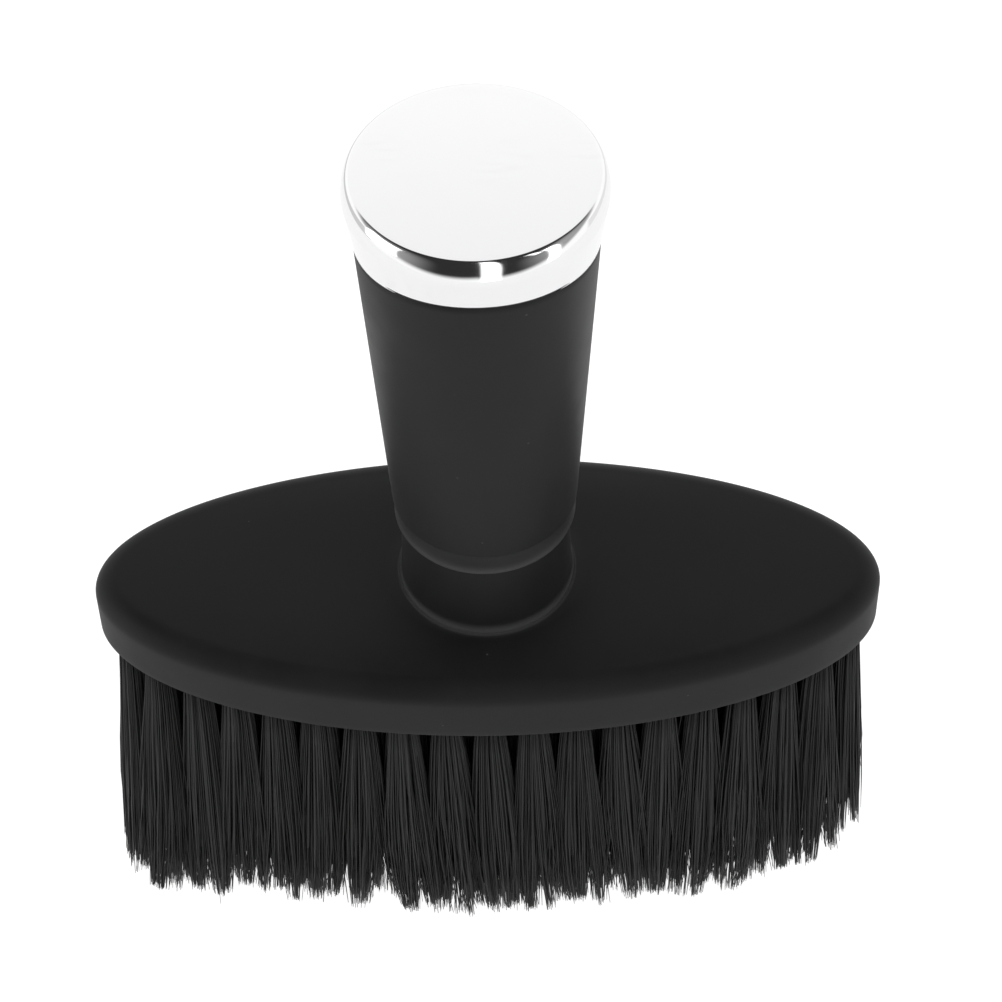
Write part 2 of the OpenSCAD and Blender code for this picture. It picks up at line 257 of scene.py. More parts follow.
def oval_row(inset, z, fullness):
    """The plate's outline moved inwards along its normals.

    The outline is a superellipse: x = a cos(t) and y = b sin(t), each raised to 2 / fullness
    with its sign kept. The normals are the outline's tangents turned a quarter turn.
    """
    t = turn_angles()
    power = 2 / fullness
    x = PLATE_A * np.sign(np.cos(t)) * np.abs(np.cos(t)) ** power
    y = PLATE_B * np.sign(np.sin(t)) * np.abs(np.sin(t)) ** power
    nx = np.sign(x) * np.abs(x / PLATE_A) ** (fullness - 1) / PLATE_A
    ny = np.sign(y) * np.abs(y / PLATE_B) ** (fullness - 1) / PLATE_B
    long = np.hypot(nx, ny)
    return np.stack([x - inset * nx / long, y - inset * ny / long, np.full(COLUMNS, z)], -1)


def arc(centre, radius, start, end, steps):
    """Points of a circular arc in the (radius, height) plane, from start to end in degrees.

    Each point is the centre plus the radius times the cosine and the sine of its angle.
    """
    a = np.radians(np.linspace(start, end, steps))
    return [(centre[0] + radius * math.cos(v), centre[1] + radius * math.sin(v)) for v in a]


def cone_radius(z):
    """The handle's radius, which grows evenly from the seat ring's foot to the seam."""
    return SEAT_R + (SEAM_R - SEAT_R) * (z - seat_low.z) / (SEAM_Z - seat_low.z)


def seam_height(radius):
    """Height of the seam round the handle, which lies on a lying cylinder along Y.

    The cylinder's radius, the bend, is half of the cap's squared radius plus the squared drop,
    over the drop. At a distance x to the side the seam is lower by the bend less the root of
    the squared bend less the squared x.
    """
    sideways = radius * np.cos(turn_angles())
    bend = (CAP_R ** 2 + SEAM_DROP ** 2) / (2 * SEAM_DROP)
    return SEAM_Z - (bend - np.sqrt(bend ** 2 - sideways ** 2))


def mark_painted_highlight_ring(piece, radius, height, width):
    """Stores a painted highlight for each point: most on a ring about Z, and more front and back.

    The value is a bell curve of the point's distance from the ring over the width, times a
    quarter plus three quarters of how far round to the front or back the point stands.
    """
    co = np.zeros(len(piece.data.vertices) * 3)
    piece.data.vertices.foreach_get("co", co)
    x, y, z = co.reshape(-1, 3).T
    r = np.hypot(x, y)
    off = ((r - radius) ** 2 + (z - height) ** 2) / width ** 2
    painted_highlight = np.exp(-off) * (0.25 + 0.75 * np.abs(y) / np.maximum(r, 1e-9))
    mark = piece.data.attributes.new("painted_highlight", "FLOAT", "POINT")
    mark.data.foreach_set("value", painted_highlight.astype(np.float32))


def dress(piece, material, slot, *nodes):
    """Gives a piece its material and its body, and hides the CAD nodes that it replaces. The slot
    is not used.
    """
    piece.data.materials.append(material)
    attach(piece, BODY)
    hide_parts(*nodes)


# ---- Plate, collar, seat ring, grip and cap ----

def plate_rows(settings):
    """Rows of the plate cover, from the socket's floor over the top, round the edge and back.

    Collar: a rounded rim, then a hollow wall whose radius grows as a power of the way down.
    Foot: a round bead and a hollow turn that touches both the bead and the top. Top: a straight
    blend from that turn's circle to the oval, with a height that falls as the square of the way
    out. Edge: a quarter circle. Underside: a lip round the bristle block.
    """
    collar_r = settings.collar_radius
    bead = settings.bead_radius
    edge = settings.edge_radius
    top_z = UNDER_Z + settings.side_height
    foot_z = top_z + settings.crown
    rim = 0.5 * MM
    lip = 2.25 * MM
    lip_round = 0.35 * MM
    roof_z = block_high.z + 0.4 * MM
    screw_r = 2.55 * MM
    fillet = settings.foot_fillet
    flare_power = 2.2
    bead_lap = 0.15 * MM
    bead_centre = (collar_r + settings.collar_flare - 0.4 * bead, foot_z + 0.8 * bead)
    fillet_z = foot_z + fillet
    fillet_r = bead_centre[0] + math.sqrt((bead + fillet) ** 2 - (fillet_z - bead_centre[1]) ** 2)
    meet = math.degrees(math.atan2(fillet_z - bead_centre[1], fillet_r - bead_centre[0]))

    profile = [(SOCKET_R, SOCKET_Z), (SOCKET_R, COLLAR_Z - rim), (SOCKET_R + rim / 2, COLLAR_Z)]
    profile += arc((collar_r - rim, COLLAR_Z - rim), rim, 90, 0, 6)
    wall_foot = bead_centre[1] + 0.9 * bead
    for s in np.linspace(0, 1, 14)[1:-1]:
        z = COLLAR_Z - rim + s * (wall_foot - COLLAR_Z + rim)
        profile.append((collar_r + (settings.collar_flare - bead_lap) * s ** flare_power, z))
    profile += arc(bead_centre, bead, 66, meet, 9)
    profile += arc((fillet_r, fillet_z), fillet, meet + 180, 270, 12)[1:]
    rows = [circle_row(r, z) for r, z in profile]

    inner = circle_row(fillet_r, foot_z)
    outer = oval_row(edge, top_z, settings.fullness)
    for s in np.linspace(0, 1, 22)[1:]:
        row = inner * (1 - s) + outer * s
        row[:, 2] = top_z + settings.crown * (1 - s ** 2)
        rows.append(row)
    for deg in np.linspace(90, 0, 14)[1:]:
        a = math.radians(deg)
        rows.append(oval_row(edge * (1 - math.cos(a)), top_z - edge * (1 - math.sin(a)),
                             settings.fullness))
    low_z = UNDER_Z + lip_round
    for z in np.linspace(top_z - edge, low_z, 8)[1:]:
        rows.append(oval_row(0, z, settings.fullness))
    for deg in np.linspace(0, 90, 6)[1:]:
        a = math.radians(deg)
        rows.append(oval_row(lip_round * (1 - math.cos(a)), low_z - lip_round * math.sin(a),
                             settings.fullness))
    rows.append(oval_row(lip - lip_round / 2, UNDER_Z, settings.fullness))
    rows.append(oval_row(lip, UNDER_Z + lip_round / 2, settings.fullness))
    rows.append(oval_row(lip, roof_z, settings.fullness))
    rows.append(circle_row(screw_r, roof_z))
    rows.append(circle_row(screw_r, SOCKET_Z))
    return np.array(rows)


def seat_ring_rows():
    """Rows of the seat ring: a band that widens downwards in a hollow to a full lower edge.

    Between its lower and its upper round the radius grows as a power of the way down.
    """
    inner = SOCKET_R + 0.05 * MM
    low, high = COLLAR_Z + 0.1 * MM, seat_high.z
    full, soft = 0.45 * MM, 0.2 * MM
    top_r = SEAT_R - 0.75 * MM
    hollow_power = 1.7
    profile = [(inner, high), (inner, low)]
    profile += arc((SEAT_R - full, low + full), full, -90, 0, 9)
    for s in np.linspace(0, 1, 13)[1:-1]:
        z = (low + full) * (1 - s) + (high - soft) * s
        profile.append((top_r + (SEAT_R - top_r) * (1 - s) ** hollow_power, z))
    profile += arc((top_r - soft, high - soft), soft, 0, 90, 6)
    return np.array([circle_row(r, z) for r, z in profile])


def grip_rows(settings):
    """Rows of the grip sleeve: a rounded foot, the cone up to the seam, and the bore down.

    The bore follows the cone one wall further in, and narrows to the socket at a shoulder.
    """
    wall = settings.grip_wall
    foot = settings.foot_round
    low = GRIP_FOOT_Z
    shoulder_high, shoulder_low = low + 4.5 * MM, low + 3.5 * MM
    edge = 0.12 * MM
    foot_r = cone_radius(low + foot)
    rows = [circle_row(r, z) for r, z in arc((foot_r - foot, low + foot), foot, -90, 0, 8)]
    seam = seam_height(SEAM_R)
    for s in np.linspace(0, 1, 40)[1:]:
        z = (low + foot) * (1 - s) + (seam - edge) * s
        rows.append(circle_row(cone_radius(z), z))
    rows.append(circle_row(cone_radius(seam) - edge, seam))
    rows.append(circle_row(SEAM_R - wall, seam))
    rows.append(circle_row(cone_radius(shoulder_high) - wall, shoulder_high))
    rows.append(circle_row(SOCKET_R, shoulder_low))
    rows.append(circle_row(SOCKET_R, low))
    return np.array(rows)


def cap_side_radius(height, top):
    """Radius of the cap's side, which widens evenly from just proud of the seam to the edge."""
    s = (height - SEAM_Z) / (top - SEAM_Z)
    return CAP_FOOT_R + (CAP_R - CAP_FOOT_R) * s


def cap_rows(settings):
    """Rows of the cap from the middle of its inside, down the skirt and up over the top.

    The top is a very low dome, the edge a quarter of an upright ellipse, and the skirt ends
    on the bent seam.
    """
    wall, edge, dome = settings.cap_wall, settings.cap_edge, settings.cap_dome
    side_top = CAP_TOP_Z - dome - settings.cap_edge_drop
    seam_gap = 0.02 * MM
    seam = seam_height(CAP_R) + seam_gap
    lip = 0.15 * MM
    inside_r = CAP_R - edge
    rows = []
    for r in np.linspace(0.04, 1, 6) * inside_r:
        rows.append(circle_row(r, CAP_TOP_Z - dome - wall))
    rows.append(circle_row(CAP_R - wall, side_top))
    rows.append(circle_row(cap_side_radius(seam, side_top) - wall, seam))
    rows.append(circle_row(cap_side_radius(seam, side_top) - lip, seam))
    for s in np.linspace(0, 1, 16):
        z = (seam + lip) * (1 - s) + side_top * s
        rows.append(circle_row(cap_side_radius(z, side_top), z))
    for turn in np.radians(np.linspace(0, 90, 28)[1:]):
        rows.append(circle_row(inside_r + edge * math.cos(turn),
                               side_top + settings.cap_edge_drop * math.sin(turn)))
    for s in np.linspace(1, 0.02, 24)[1:]:
        rows.append(circle_row(inside_r * s, CAP_TOP_Z - dome * s ** 2))
    return np.array(rows)


# ---- Bristles ----

def solid_labels(node):
    """Points of a CAD node and a number for each that is the same all over one solid.

    The node's loose triangles are joined where their points agree, and the lowest label of
    each triangle spreads over its solid until nothing changes.
    """
    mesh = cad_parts[node].data
    mesh.calc_loop_triangles()
    co = np.zeros(len(mesh.vertices) * 3)
    mesh.vertices.foreach_get("co", co)
    tri = np.zeros(len(mesh.loop_triangles) * 3, np.int32)
    mesh.loop_triangles.foreach_get("vertices", tri)
    points, same = np.unique(np.round(co.reshape(-1, 3), 6), axis=0, return_inverse=True)
    tri = same.ravel()[tri].reshape(-1, 3)
    labels = np.arange(len(points))
    while True:
        lowest = labels[tri].min(1)
        spread = labels.copy()
        for corner in range(3):
            np.minimum.at(spread, tri[:, corner], lowest)
        spread = spread[spread]
        if np.array_equal(spread, labels):
            return points, labels
        labels = spread


def tuft_axes(node):
    """Root and tip centre of each tuft: the middle of a solid's top ring and of its tip ring."""
    points, labels = solid_labels(node)
    flat = 0.02 * MM
    high, low = points[:, 2].max(), points[:, 2].min()
    roots, tips = [], []
    for label in np.unique(labels):
        own = points[labels == label]
        root = own[own[:, 2] > high - flat].mean(0)
        ring = own[own[:, 2] < low + flat]
        roots.append([root[0], root[1], UNDER_Z])
        tips.append((ring.min(0) + ring.max(0)) / 2)
    return np.array(roots), np.array(tips)


def smooth_step(low, high, value):
    """0 up to low, 1 from high on, and between them three squares of the way less two cubes."""
    s = np.clip((value - low) / (high - low), 0, 1)
    return s * s * (3 - 2 * s)


def swept_tips(roots, tips):
    """Tips as the brush has them after use: fuller corners, and the left end brushed forward.

    Towards both ends a smooth step moves the tips outwards, to the side of the row that they
    are on. Towards the left end a second one moves them forwards. They stay within the row's
    own width.
    """
    corner_sweep, left_sweep, side_width = 3.5 * MM, 6 * MM, 5 * MM
    x, y = roots[:, 0], roots[:, 1]
    corner = smooth_step(20 * MM, 46 * MM, np.abs(x)) * np.tanh(y / side_width) * corner_sweep
    left = smooth_step(38 * MM, 55 * MM, -x) * left_sweep
    swept = tips.copy()
    swept[:, 1] += corner - left
    swept[:, 1] = np.clip(swept[:, 1], tips[:, 1].min(), tips[:, 1].max())
    return swept


def filament_lines(roots, tips, per_tuft, settings, seed):
    """Centre lines and radii of every filament of some tufts.

    Each filament starts at its own place in the tuft's round root. On its way down the tuft
    fans out, quickly at first, along the row more than across it. Near the tips the filaments
    draw together in small clumps. Each clump is cut at its own height, and each filament a
    little shorter still. A slow wave and a tuft's own lean keep the lines from being straight.
    """
    rng = np.random.default_rng(seed)
    tufts, clumps, steps = len(roots), 7, 7
    size = (tufts, per_tuft)
    root_r, across = 1.75 * MM, 2.7 * MM
    fan_power, pull, pull_power = 0.8, 0.55, 4
    stray_share, stray_reach = 0.1, 0.35
    clump_cut_most, cut_most = 2.4 * MM, 8 * MM
    short_share, short_most = 0.03, 6 * MM
    waves = 4.2
    into_plate = 1.2 * MM

    out = (tips - roots)[:, :2]
    tips = swept_tips(roots, tips)
    reach = np.linalg.norm(out, axis=1, keepdims=True)
    out = np.where(reach > 0.2 * MM, out / np.maximum(reach, 1e-9), [[0.0, 1.0]])
    along = np.stack([-out[:, 1], out[:, 0]], -1)

    def disc(shape):
        """Even random places on a disc of radius 1: the root of a draw is the radius."""
        radius, angle = np.sqrt(rng.random(shape)), rng.random(shape) * TAU
        return np.stack([radius * np.cos(angle), radius * np.sin(angle)], -1)

    own = disc(size)
    centres = disc((tufts, clumps)) * 0.95
    gap = np.linalg.norm(own[:, :, None] - centres[:, None], axis=-1)
    clump = gap.argmin(-1)
    pick = np.arange(tufts)[:, None]
    centre = centres[pick, clump]

    stray = rng.random(size) < stray_share
    stray = stray[..., None] * rng.normal(0, stray_reach, size + (2,))
    sway = rng.normal(0, 1.0 * MM, (tufts, 1, 1))
    wave_size = rng.normal(0, 0.28 * MM, size + (2,))
    clump_wave = rng.normal(0, 0.45 * MM, (tufts, clumps, 2))[pick, clump]
    wave_turn = rng.random(size) * TAU

    clump_cut = (rng.random((tufts, clumps)) ** 1.5 * clump_cut_most)[pick, clump]
    cut = clump_cut + np.minimum(rng.exponential(settings.ragged, size), cut_most)
    cut += (rng.random(size) < short_share) * rng.random(size) * short_most

    t = np.linspace(0, 1, steps)
    fan_along = root_r + (settings.fan - root_r) * t ** fan_power
    fan_across = root_r + (across - root_r) * t ** fan_power
    spread = np.stack([fan_along, fan_across], -1)
    place = (own + stray * 0.5)[:, :, None] * spread
    drawn = (centre - own)[:, :, None] * pull * spread * (t ** pull_power)[:, None]
    place = place + drawn
    wave = np.sin(wave_turn[..., None] + t * waves) * t
    place = place + (wave_size + clump_wave)[:, :, None] * wave[..., None]
    place[..., 0] += sway * t ** 1.2

    way = t * (1 - cut[..., None] / UNDER_Z)
    axis = roots[:, None, None] + (tips - roots)[:, None, None] * way[..., None]
    lines = np.empty(size + (steps, 3))
    lines[..., :2] = (axis[..., :2] + place[..., :1] * along[:, None, None]
                      + place[..., 1:] * out[:, None, None])
    lines[..., 2] = axis[..., 2]
    lines[..., 0, 2] += into_plate
    radius = settings.filament_radius * (0.8 + 0.4 * rng.random(size))[..., None]
    radius = radius * (1 - 0.7 * smooth_step(0.72, 1, t))
    shade = 0.5 * rng.random(size) + 0.5 * rng.random((tufts, clumps))[pick, clump]
    return lines.reshape(-1, steps, 3), radius.reshape(-1, steps), shade.ravel()


def filament_mesh(name, lines, radius, shade):
    """Three-sided tapered tubes round the centre lines, each closed at both ends.

    A ring is level: its corners stand a third of a turn apart at the filament's radius.
    """
    count, steps = radius.shape
    sides = 3
    turn = np.arange(sides) * TAU / sides + shade[:, None] * TAU
    ring = np.stack([np.cos(turn), np.sin(turn), np.zeros_like(turn)], -1)
    points = lines[:, :, None] + ring[:, None] * radius[:, :, None, None]
    index = np.arange(count * steps * sides).reshape(count, steps, sides)
    here, below = index[:, :-1], index[:, 1:]
    quads = np.stack([here, below, np.roll(below, -1, 2), np.roll(here, -1, 2)], -1)
    ends = np.concatenate([index[:, 0], index[:, -1, ::-1]])
    piece = make_mesh_object(name, points.reshape(-1, 3), quads.reshape(-1, 4), ends)
    strand = piece.data.attributes.new("strand", "FLOAT", "POINT")
    strand.data.foreach_set("value", np.repeat(shade, steps * sides).astype(np.float32))
    return piece


# Piece, CAD node, side (-1 front, 1 back, 0 both), share of the outer tufts' filaments, seed.
TUFT_PIECES = (
    ("bristles_outer_front", "tufts_outer_row", -1, 1.0, 11),
    ("bristles_outer_back", "tufts_outer_row", 1, 1.0, 12),
    ("bristles_second_front", "tufts_second_row", -1, 0.87, 13),
    ("bristles_second_back", "tufts_second_row", 1, 0.87, 14),
    ("bristles_third", "tufts_third_row", 0, 0.72, 15),
    ("bristles_centre", "tufts_centre_row", 0, 0.72, 16),
)


def add_tufts(name, node, side, per_tuft, seed, settings, material):
    """One mesh of the tufts of a row that stand in front of the X axis, behind it, or of all."""
    roots, tips = tuft_axes(node)
    chosen = (side == 0) | ((roots[:, 1] < 0) == (side < 0))
    lines, radius, shade = filament_lines(roots[chosen], tips[chosen], per_tuft, settings, seed)
    low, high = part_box("tufts_outer_row")
    room = 0.8 * MM
    lines[..., 0] = np.clip(lines[..., 0], low.x - room, high.x + room)
    lines[..., 1] = np.clip(lines[..., 1], low.y - room, high.y + room)
    piece = filament_mesh(name, lines, radius, shade)
    dress(piece, material, "bristle_black", node)


# ---- Shader node groups ----

class Nodes:
    """Short-hand for placing and joining the nodes of one tree."""

    def __init__(self, tree):
        self.tree = tree

    def add(self, kind, inputs=None, **settings):
        """Places a node, with its settings and with a value or a link for each named input."""
        node = self.tree.nodes.new(kind)
        for name, value in settings.items():
            setattr(node, name, value)
        for name, value in (inputs or {}).items():
            self.feed(node.inputs[name], value)
        return node

    def feed(self, socket, value):
        """Links another node's output to a socket, or sets the socket's own value."""
        if isinstance(value, bpy.types.NodeSocket):
            self.tree.links.new(value, socket)
        else:
            socket.default_value = value

    def math(self, operation, a, b=0.0):
        return self.add("ShaderNodeMath", {0: a, 1: b}, operation=operation).outputs[0]

    def noise(self, vector, scale, detail=3.0, rough=0.5):
        node = self.add("ShaderNodeTexNoise", {"Vector": vector, "Scale": scale,
                                               "Detail": detail, "Roughness": rough})
        return node.outputs["Fac"]

    def ramp(self, value, low, high, to_low=0.0, to_high=1.0):
        """A smooth step of a value from one range to another."""
        node = self.add("ShaderNodeMapRange", {"Value": value, "From Min": low, "From Max": high,
                                               "To Min": to_low, "To Max": to_high},
                        interpolation_type="SMOOTHSTEP")
        return node.outputs["Result"]

    def blend(self, factor, a, b):
        node = self.add("ShaderNodeMix", data_type="RGBA")
        self.feed(node.inputs["Factor"], factor)
        self.feed(node.inputs["A"], a)
        self.feed(node.inputs["B"], b)
        return node.outputs["Result"]


def new_group(name, inputs, outputs):
    """A node group with float or vector inputs and outputs; returns it with its two ends."""
    group = bpy.data.node_groups.new(name, "ShaderNodeTree")
    for label, kind, value in inputs:
        socket = group.interface.new_socket(label, in_out="INPUT", socket_type=kind)
        if value is not None:
            socket.default_value = value
    for label, kind in outputs:
        group.interface.new_socket(label, in_out="OUTPUT", socket_type=kind)
    nodes = Nodes(group)
    return group, nodes, nodes.add("NodeGroupInput"), nodes.add("NodeGroupOutput")


def make_moulded_grain():
    """Fine grain of a moulded or sprayed surface: a height, and a slow mottle from 0 to 1."""
    group, n, start, end = new_group(
        "MouldedGrain",
        [("Vector", "NodeSocketVector", None), ("Grain Scale", "NodeSocketFloat", 4000.0),
         ("Mottle Scale", "NodeSocketFloat", 90.0)],
        [("Height", "NodeSocketFloat"), ("Mottle", "NodeSocketFloat")])
    fine = n.noise(start.outputs["Vector"], start.outputs["Grain Scale"], 2.0, 0.6)
    broad = n.noise(start.outputs["Vector"], start.outputs["Mottle Scale"], 4.0, 0.6)
    n.feed(end.inputs["Height"], n.math("ADD", n.math("MULTIPLY", fine, 0.7),
                                        n.math("MULTIPLY", broad, 0.3)))
    n.feed(end.inputs["Mottle"], n.ramp(broad, 0.3, 0.7))
    return group


def make_dust():
    """Sparse specks of dust: a mask that is 1 in small spots where cells of a pattern are small."""
    group, n, start, end = new_group(
        "DustSpecks",
        [("Vector", "NodeSocketVector", None), ("Scale", "NodeSocketFloat", 420.0),
         ("Size", "NodeSocketFloat", 0.07)],
        [("Mask", "NodeSocketFloat")])
    cells = n.add("ShaderNodeTexVoronoi", {"Vector": start.outputs["Vector"],
                                           "Scale": start.outputs["Scale"]})
    spot = n.math("LESS_THAN", cells.outputs["Distance"], start.outputs["Size"])
    tone = n.add("ShaderNodeSeparateColor", {"Color": cells.outputs["Color"]})
    rare = n.math("GREATER_THAN", tone.outputs["Red"], 0.9)
    n.feed(end.inputs["Mask"], n.math("MULTIPLY", spot, rare))
    return group


def make_smudges():
    """Faint smudges and wipe marks of handled metal: a value from 0, clean, to 1, marked."""
    group, n, start, end = new_group(
        "SmudgeFilm",
        [("Vector", "NodeSocketVector", None), ("Scale", "NodeSocketFloat", 160.0)],
        [("Film", "NodeSocketFloat")])
    long = n.add("ShaderNodeMapping", {"Vector": start.outputs["Vector"], "Scale": (1, 4, 1),
                                       "Rotation": (0, 0, 0.6)})
    wipes = n.noise(long.outputs["Vector"], start.outputs["Scale"], 5.0, 0.65)
    patches = n.noise(start.outputs["Vector"], 70.0, 2.0, 0.5)
    n.feed(end.inputs["Film"], n.math("MULTIPLY", n.ramp(wipes, 0.4, 0.75),
                                      n.ramp(patches, 0.4, 0.7)))
    return group


def make_turned_lines():
    """Fine tool lines round a turned or drawn part: a height that varies quickly along Z."""
    group, n, start, end = new_group(
        "TurnedLines",
        [("Vector", "NodeSocketVector", None), ("Scale", "NodeSocketFloat", 900.0)],
        [("Height", "NodeSocketFloat"), ("Tone", "NodeSocketFloat")])
    thin = n.add("ShaderNodeMapping", {"Vector": start.outputs["Vector"],
                                       "Scale": (0.05, 0.05, 1)})
    lines = n.noise(thin.outputs["Vector"], start.outputs["Scale"], 3.0, 0.7)
    n.feed(end.inputs["Height"], lines)
    n.feed(end.inputs["Tone"], n.ramp(lines, 0.35, 0.65))
    return group


# ---- Materials ----

PALE_GREY = (0.09, 0.09, 0.092, 1)       # dust, and the painted highlight on the collar's bead and the seat ring


def new_material(name, **sockets):
    """A material with a Principled shader whose plain values are set; returns its parts."""
    material = bpy.data.materials.new(name)
    material.use_nodes = True
    nodes = Nodes(material.node_tree)
    shader = next(n for n in material.node_tree.nodes if n.type == "BSDF_PRINCIPLED")
    for label, value in sockets.items():
        shader.inputs[label.replace("_", " ")].default_value = value
    where = nodes.add("ShaderNodeTexCoord").outputs["Object"]
    return material, nodes, shader, where


def place_group(nodes, name, inputs):
    """Places a shared node group with its own inputs."""
    node = nodes.add("ShaderNodeGroup", node_tree=bpy.data.node_groups[name])
    for label, value in inputs.items():
        nodes.feed(node.inputs[label], value)
    return node


def bump(nodes, shader, height, distance, strength=1.0):
    """Joins a height to the shader's normal, with the rise in metres that a height of 1 has."""
    node = nodes.add("ShaderNodeBump", {"Height": height, "Distance": distance,
                                        "Strength": strength})
    nodes.feed(shader.inputs["Normal"], node.outputs["Normal"])


def tint(colour, factor):
    """A colour made lighter or darker by a factor, with full alpha."""
    return tuple(min(c * factor, 1.0) for c in colour) + (1.0,)


def point_value(nodes, name):
    """The value that a piece's points carry under a name."""
    return nodes.add("ShaderNodeAttribute", attribute_name=name,
                     attribute_type="GEOMETRY").outputs["Fac"]


def add_painted_highlight(nodes, colour, strength):
    """A colour made lighter by a painted highlight, as much as the piece's points carry."""
    factor = nodes.math("MULTIPLY", point_value(nodes, "painted_highlight"), strength)
    return nodes.blend(factor, colour, PALE_GREY)


def soft_touch_material(name, colour, roughness):
    """Soft-touch black: very fine grain, a slow mottle in tone and gloss, specks of dust, and
    a painted highlight, a lighter tone on the collar's bead."""
    material, n, shader, where = new_material(name, Specular_IOR_Level=0.16, Sheen_Weight=0.03,
                                              Sheen_Roughness=0.4)
    grain = place_group(n, "MouldedGrain", {"Vector": where, "Grain Scale": 5200.0,
                                            "Mottle Scale": 60.0})
    dust = place_group(n, "DustSpecks", {"Vector": where, "Scale": 300.0, "Size": 0.05})
    base = n.blend(grain.outputs["Mottle"], tint(colour, 0.86), tint(colour, 1.14))
    dusty = n.blend(n.math("MULTIPLY", dust.outputs["Mask"], 0.5), base, PALE_GREY)
    # the colour is made lighter on the collar's bead: a painted highlight
    n.feed(shader.inputs["Base Color"], add_painted_highlight(n, dusty, 0.5))
    n.feed(shader.inputs["Roughness"], n.ramp(grain.outputs["Mottle"], 0, 1, roughness - 0.04,
                                              roughness + 0.04))
    bump(n, shader, grain.outputs["Height"], 0.02 * MM, 0.5)
    return material


def rubber_material():
    """Seat ring rubber: a little rougher and darker than the coating round it."""
    material, n, shader, where = new_material("RingRubber", Specular_IOR_Level=0.3)
    grain = place_group(n, "MouldedGrain", {"Vector": where, "Grain Scale": 3800.0,
                                            "Mottle Scale": 120.0})
    base = n.blend(grain.outputs["Mottle"], (0.010, 0.010, 0.0105, 1), (0.014, 0.014, 0.0145, 1))
    # the colour is made lighter round the ring's lower edge: a painted highlight
    n.feed(shader.inputs["Base Color"], add_painted_highlight(n, base, 0.4))
    n.feed(shader.inputs["Roughness"], n.ramp(grain.outputs["Mottle"], 0, 1, 0.5, 0.6))
    bump(n, shader, grain.outputs["Height"], 0.03 * MM, 0.5)
    return material


def chrome_material():
    """Polished chrome: mirror bright, with a faint film of smudges that dulls it in places."""
    material, n, shader, where = new_material("CapChrome", Metallic=1.0)
    film = place_group(n, "SmudgeFilm", {"Vector": where, "Scale": 190.0}).outputs["Film"]
    n.feed(shader.inputs["Base Color"], n.blend(film, (0.875, 0.875, 0.88, 1),
                                                (0.85, 0.85, 0.855, 1)))
    n.feed(shader.inputs["Roughness"], n.ramp(film, 0, 1, 0.08, 0.13))
    ripple = n.noise(where, 220.0, 1.0, 0.4)
    bump(n, shader, ripple, 0.01 * MM, 0.12)
    return material


def bristle_material(colour):
    """Black filaments, each with its own tone from the strand attribute, streaked lengthways."""
    material, n, shader, where = new_material("BristleFilament", Specular_IOR_Level=0.3)
    strand = point_value(n, "strand")
    long = n.add("ShaderNodeMapping", {"Vector": where, "Scale": (1, 1, 0.06)})
    streak = n.noise(long.outputs["Vector"], 520.0, 3.0, 0.6)
    tone = n.math("ADD", n.math("MULTIPLY", strand, 0.6), n.math("MULTIPLY", streak, 0.4))
    n.feed(shader.inputs["Base Color"], n.blend(n.ramp(tone, 0.2, 0.85), tint(colour, 0.85),
                                                tint(colour, 1.4)))
    n.feed(shader.inputs["Roughness"], n.ramp(strand, 0, 1, 0.42, 0.6))
    return material


def moulded_material(name, colour, roughness):
    """Plain moulded plastic of the block and of the inner pieces."""
    material, n, shader, where = new_material(name, Specular_IOR_Level=0.35)
    grain = place_group(n, "MouldedGrain", {"Vector": where, "Grain Scale": 2500.0,
                                            "Mottle Scale": 150.0})
    n.feed(shader.inputs["Base Color"], n.blend(grain.outputs["Mottle"], tint(colour, 0.8),
                                                tint(colour, 1.2)))
    n.feed(shader.inputs["Roughness"], n.ramp(grain.outputs["Mottle"], 0, 1, roughness - 0.06,
                                              roughness + 0.06))
    bump(n, shader, grain.outputs["Height"], 0.03 * MM, 0.6)
    return material


def turned_metal_material(name, colour, roughness):
    """Turned or drawn metal of the screws, pins, inserts and anchors."""
    material, n, shader, where = new_material(name, Metallic=1.0)
    lines = place_group(n, "TurnedLines", {"Vector": where, "Scale": 2600.0})
    n.feed(shader.inputs["Base Color"], n.blend(lines.outputs["Tone"], tint(colour, 0.85),
                                                tint(colour, 1.08)))
    n.feed(shader.inputs["Roughness"], n.ramp(lines.outputs["Tone"], 0, 1, roughness,
                                              roughness + 0.12))
    bump(n, shader, lines.outputs["Height"], 0.01 * MM, 0.5)
    return material


def finish_cad_node(node, material):
    """Gives a kept CAD node its finish."""
    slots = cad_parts[node].data.materials
    slots.clear()
    slots.append(material)


# ---- Operators ----

class DUSTER_OT_patterns(bpy.types.Operator):
    """Make the shader node groups that the finishes share"""
    bl_idname = "duster.patterns"
    bl_label = "Make surface patterns"

    def execute(self, context):
        make_moulded_grain()
        make_dust()
        make_smudges()
        make_turned_lines()
        make_sky_patch()
        return {"FINISHED"}


class DUSTER_OT_plate(bpy.types.Operator):
    """Build the plate cover with its collar"""
    bl_idname = "duster.plate"
    bl_label = "Build plate cover"

    def execute(self, context):
        settings = context.scene.duster_plate
        piece = closed_surface("plate_shell", plate_rows(settings))
        bead_z = UNDER_Z + settings.side_height + settings.crown + settings.bead_radius
        # a painted highlight on the bead at the collar's foot, lighter front and back
        mark_painted_highlight_ring(piece, settings.collar_radius + settings.collar_flare, bead_z, 0.7 * MM)
        dress(piece, soft_touch_material("PlateSoftTouch", settings.colour, 0.55),
              "soft_touch_black", "plate_cover")
        return {"FINISHED"}


class DUSTER_OT_seat_ring(bpy.types.Operator):
    """Build the seat ring between collar and grip"""
    bl_idname = "duster.seat_ring"
    bl_label = "Build seat ring"

    def execute(self, context):
        piece = closed_surface("seat_band", seat_ring_rows())
        # a painted highlight round the seat ring's lower edge, lighter front and back
        mark_painted_highlight_ring(piece, SEAT_R, COLLAR_Z + 0.6 * MM, 0.7 * MM)
        dress(piece, rubber_material(), "seat_rubber", "seat_ring")
        return {"FINISHED"}


